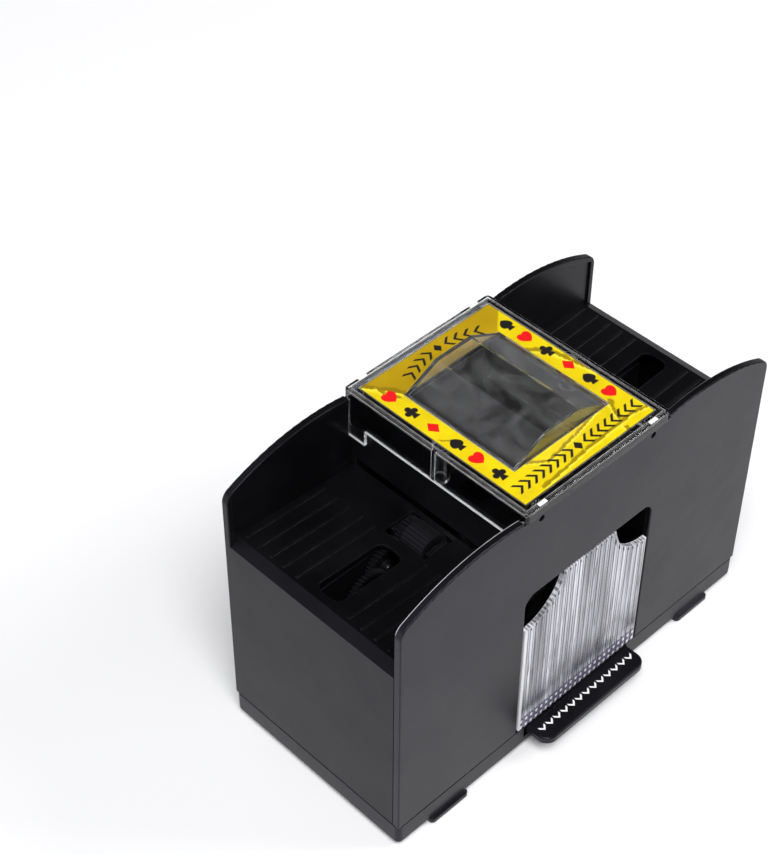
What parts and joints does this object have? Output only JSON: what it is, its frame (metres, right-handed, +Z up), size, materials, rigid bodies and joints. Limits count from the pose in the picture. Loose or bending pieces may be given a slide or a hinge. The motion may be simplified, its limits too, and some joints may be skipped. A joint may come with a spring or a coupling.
{
  "type": "automatic card shuffler",
  "caption": "Table-top card shuffler: two ribbed side trays with rubber feed rollers, clear cover, clear fluted pull-out tray and front press button.",
  "frame": {"origin": "centre of the footprint on the table, front press button included", "axes": "+Z up, +X to the object's right seen from the front, +Y from the front button to the back"},
  "size_m": [0.214, 0.113, 0.156],
  "materials": {
    "body": "satin moulded",
    "inner": "moulded",
    "button": "satin gloss",
    "clear": "clear polystyrene",
    "clear_tray": "clear fluted polystyrene",
    "label": "gold foil print",
    "rubber": "matt",
    "gear": "black acetal",
    "switch": "moulded",
    "plunger": "moulded",
    "cap": "moulded nylon",
    "can": "zinc plated",
    "steel": "ground",
    "screw": "zinc plated",
    "spring": "drawn wire",
    "contact": "nickel plated",
    "brass": "turned"
  },
  "bodies": {
    "housing": {"base_tray": "body", "foot_pads": "rubber", "base_screws": "screw", "front_panel": "body", "back_panel": "body", "button_pivot_pin": "steel", "button_springs": "spring", "switch_body": "switch", "battery_plates": "contact", "battery_springs": "spring", "left_hopper": "body", "left_card_gate": "body", "left_drive_frame": "inner", "left_frame_screws": "screw", "left_gear_pins": "steel", "left_shaft_bushes": "brass", "left_motor_can": "can", "left_motor_end_cap": "cap", "right_hopper": "body", "right_card_gate": "body", "right_drive_frame": "inner", "right_frame_screws": "screw", "right_gear_pins": "steel", "right_shaft_bushes": "brass", "right_motor_can": "can", "right_motor_end_cap": "cap"},
    "cover": {"top_cover": "clear", "cover_label": "label"},
    "drawer": {"output_tray": "clear_tray"},
    "button": {"operate_button": "button"},
    "plunger": {"switch_plunger": "plunger"},
    "battery_hatch": {"battery_door": "body"},
    "left_feed": {"left_feed_shaft": "steel", "left_roller_gear": "gear", "left_feed_roller": "rubber"},
    "left_transfer": {"left_transfer_gear": "gear"},
    "left_compound": {"left_compound_gear": "gear"},
    "left_rotor": {"left_motor_shaft": "steel", "left_motor_pinion": "brass"},
    "right_feed": {"right_feed_shaft": "steel", "right_roller_gear": "gear", "right_feed_roller": "rubber"},
    "right_transfer": {"right_transfer_gear": "gear"},
    "right_compound": {"right_compound_gear": "gear"},
    "right_rotor": {"right_motor_shaft": "steel", "right_motor_pinion": "brass"}
  },
  "joints": [
    {"name": "cover_lift", "type": "slide", "parent": "housing", "child": "cover", "axis": [0, 0, 1], "range_m": [0, 0.04]},
    {"name": "drawer_slide", "type": "slide", "parent": "housing", "child": "drawer", "axis": [0, -1, 0], "range_m": [0, 0.09]},
    {"name": "button_press", "type": "hinge", "parent": "housing", "child": "button", "pos_m": [0, -0.00647, 0.0095], "axis": [1, 0, 0], "range_deg": [0, 3.5], "stiffness_Nm_per_rad": 0.6, "springref_deg": -2.86, "deforming": ["button_springs"]},
    {"name": "plunger_slide", "type": "slide", "parent": "housing", "child": "plunger", "axis": [0, 0, -1], "range_m": [0, 0.00135]},
    {"name": "battery_hatch_hinge", "type": "hinge", "parent": "housing", "child": "battery_hatch", "pos_m": [0.1009, 0.00553, 0.0029], "axis": [0, -1, 0], "range_deg": [0, 90]},
    {"name": "left_feed_spin", "type": "hinge", "parent": "housing", "child": "left_feed", "pos_m": [-0.0483, 0.00553, 0.1023], "axis": [0, 1, 0], "continuous": true},
    {"name": "left_transfer_spin", "type": "hinge", "parent": "housing", "child": "left_transfer", "pos_m": [-0.0612, 0.00553, 0.09251], "axis": [0, 1, 0], "continuous": true},
    {"name": "left_compound_spin", "type": "hinge", "parent": "housing", "child": "left_compound", "pos_m": [-0.07421, 0.00553, 0.0879], "axis": [0, 1, 0], "continuous": true},
    {"name": "left_rotor_spin", "type": "hinge", "parent": "housing", "child": "left_rotor", "pos_m": [-0.08439, 0.00553, 0.07772], "axis": [0, 1, 0], "continuous": true},
    {"name": "right_feed_spin", "type": "hinge", "parent": "housing", "child": "right_feed", "pos_m": [0.0483, 0.00553, 0.1023], "axis": [0, -1, 0], "continuous": true},
    {"name": "right_transfer_spin", "type": "hinge", "parent": "housing", "child": "right_transfer", "pos_m": [0.0612, 0.00553, 0.09251], "axis": [0, -1, 0], "continuous": true},
    {"name": "right_compound_spin", "type": "hinge", "parent": "housing", "child": "right_compound", "pos_m": [0.07421, 0.00553, 0.0879], "axis": [0, -1, 0], "continuous": true},
    {"name": "right_rotor_spin", "type": "hinge", "parent": "housing", "child": "right_rotor", "pos_m": [0.08439, 0.00553, 0.07772], "axis": [0, -1, 0], "continuous": true}
  ],
  "couplings": [
    {"joint": "plunger_slide", "follows": "button_press", "m_per_rad": 0.021},
    {"joint": "left_transfer_spin", "follows": "left_feed_spin", "ratio": -0.6875},
    {"joint": "left_compound_spin", "follows": "left_feed_spin", "ratio": 1.5714},
    {"joint": "left_rotor_spin", "follows": "left_feed_spin", "ratio": -5.9714},
    {"joint": "right_transfer_spin", "follows": "right_feed_spin", "ratio": -0.6875},
    {"joint": "right_compound_spin", "follows": "right_feed_spin", "ratio": 1.5714},
    {"joint": "right_rotor_spin", "follows": "right_feed_spin", "ratio": -5.9714}
  ]
}
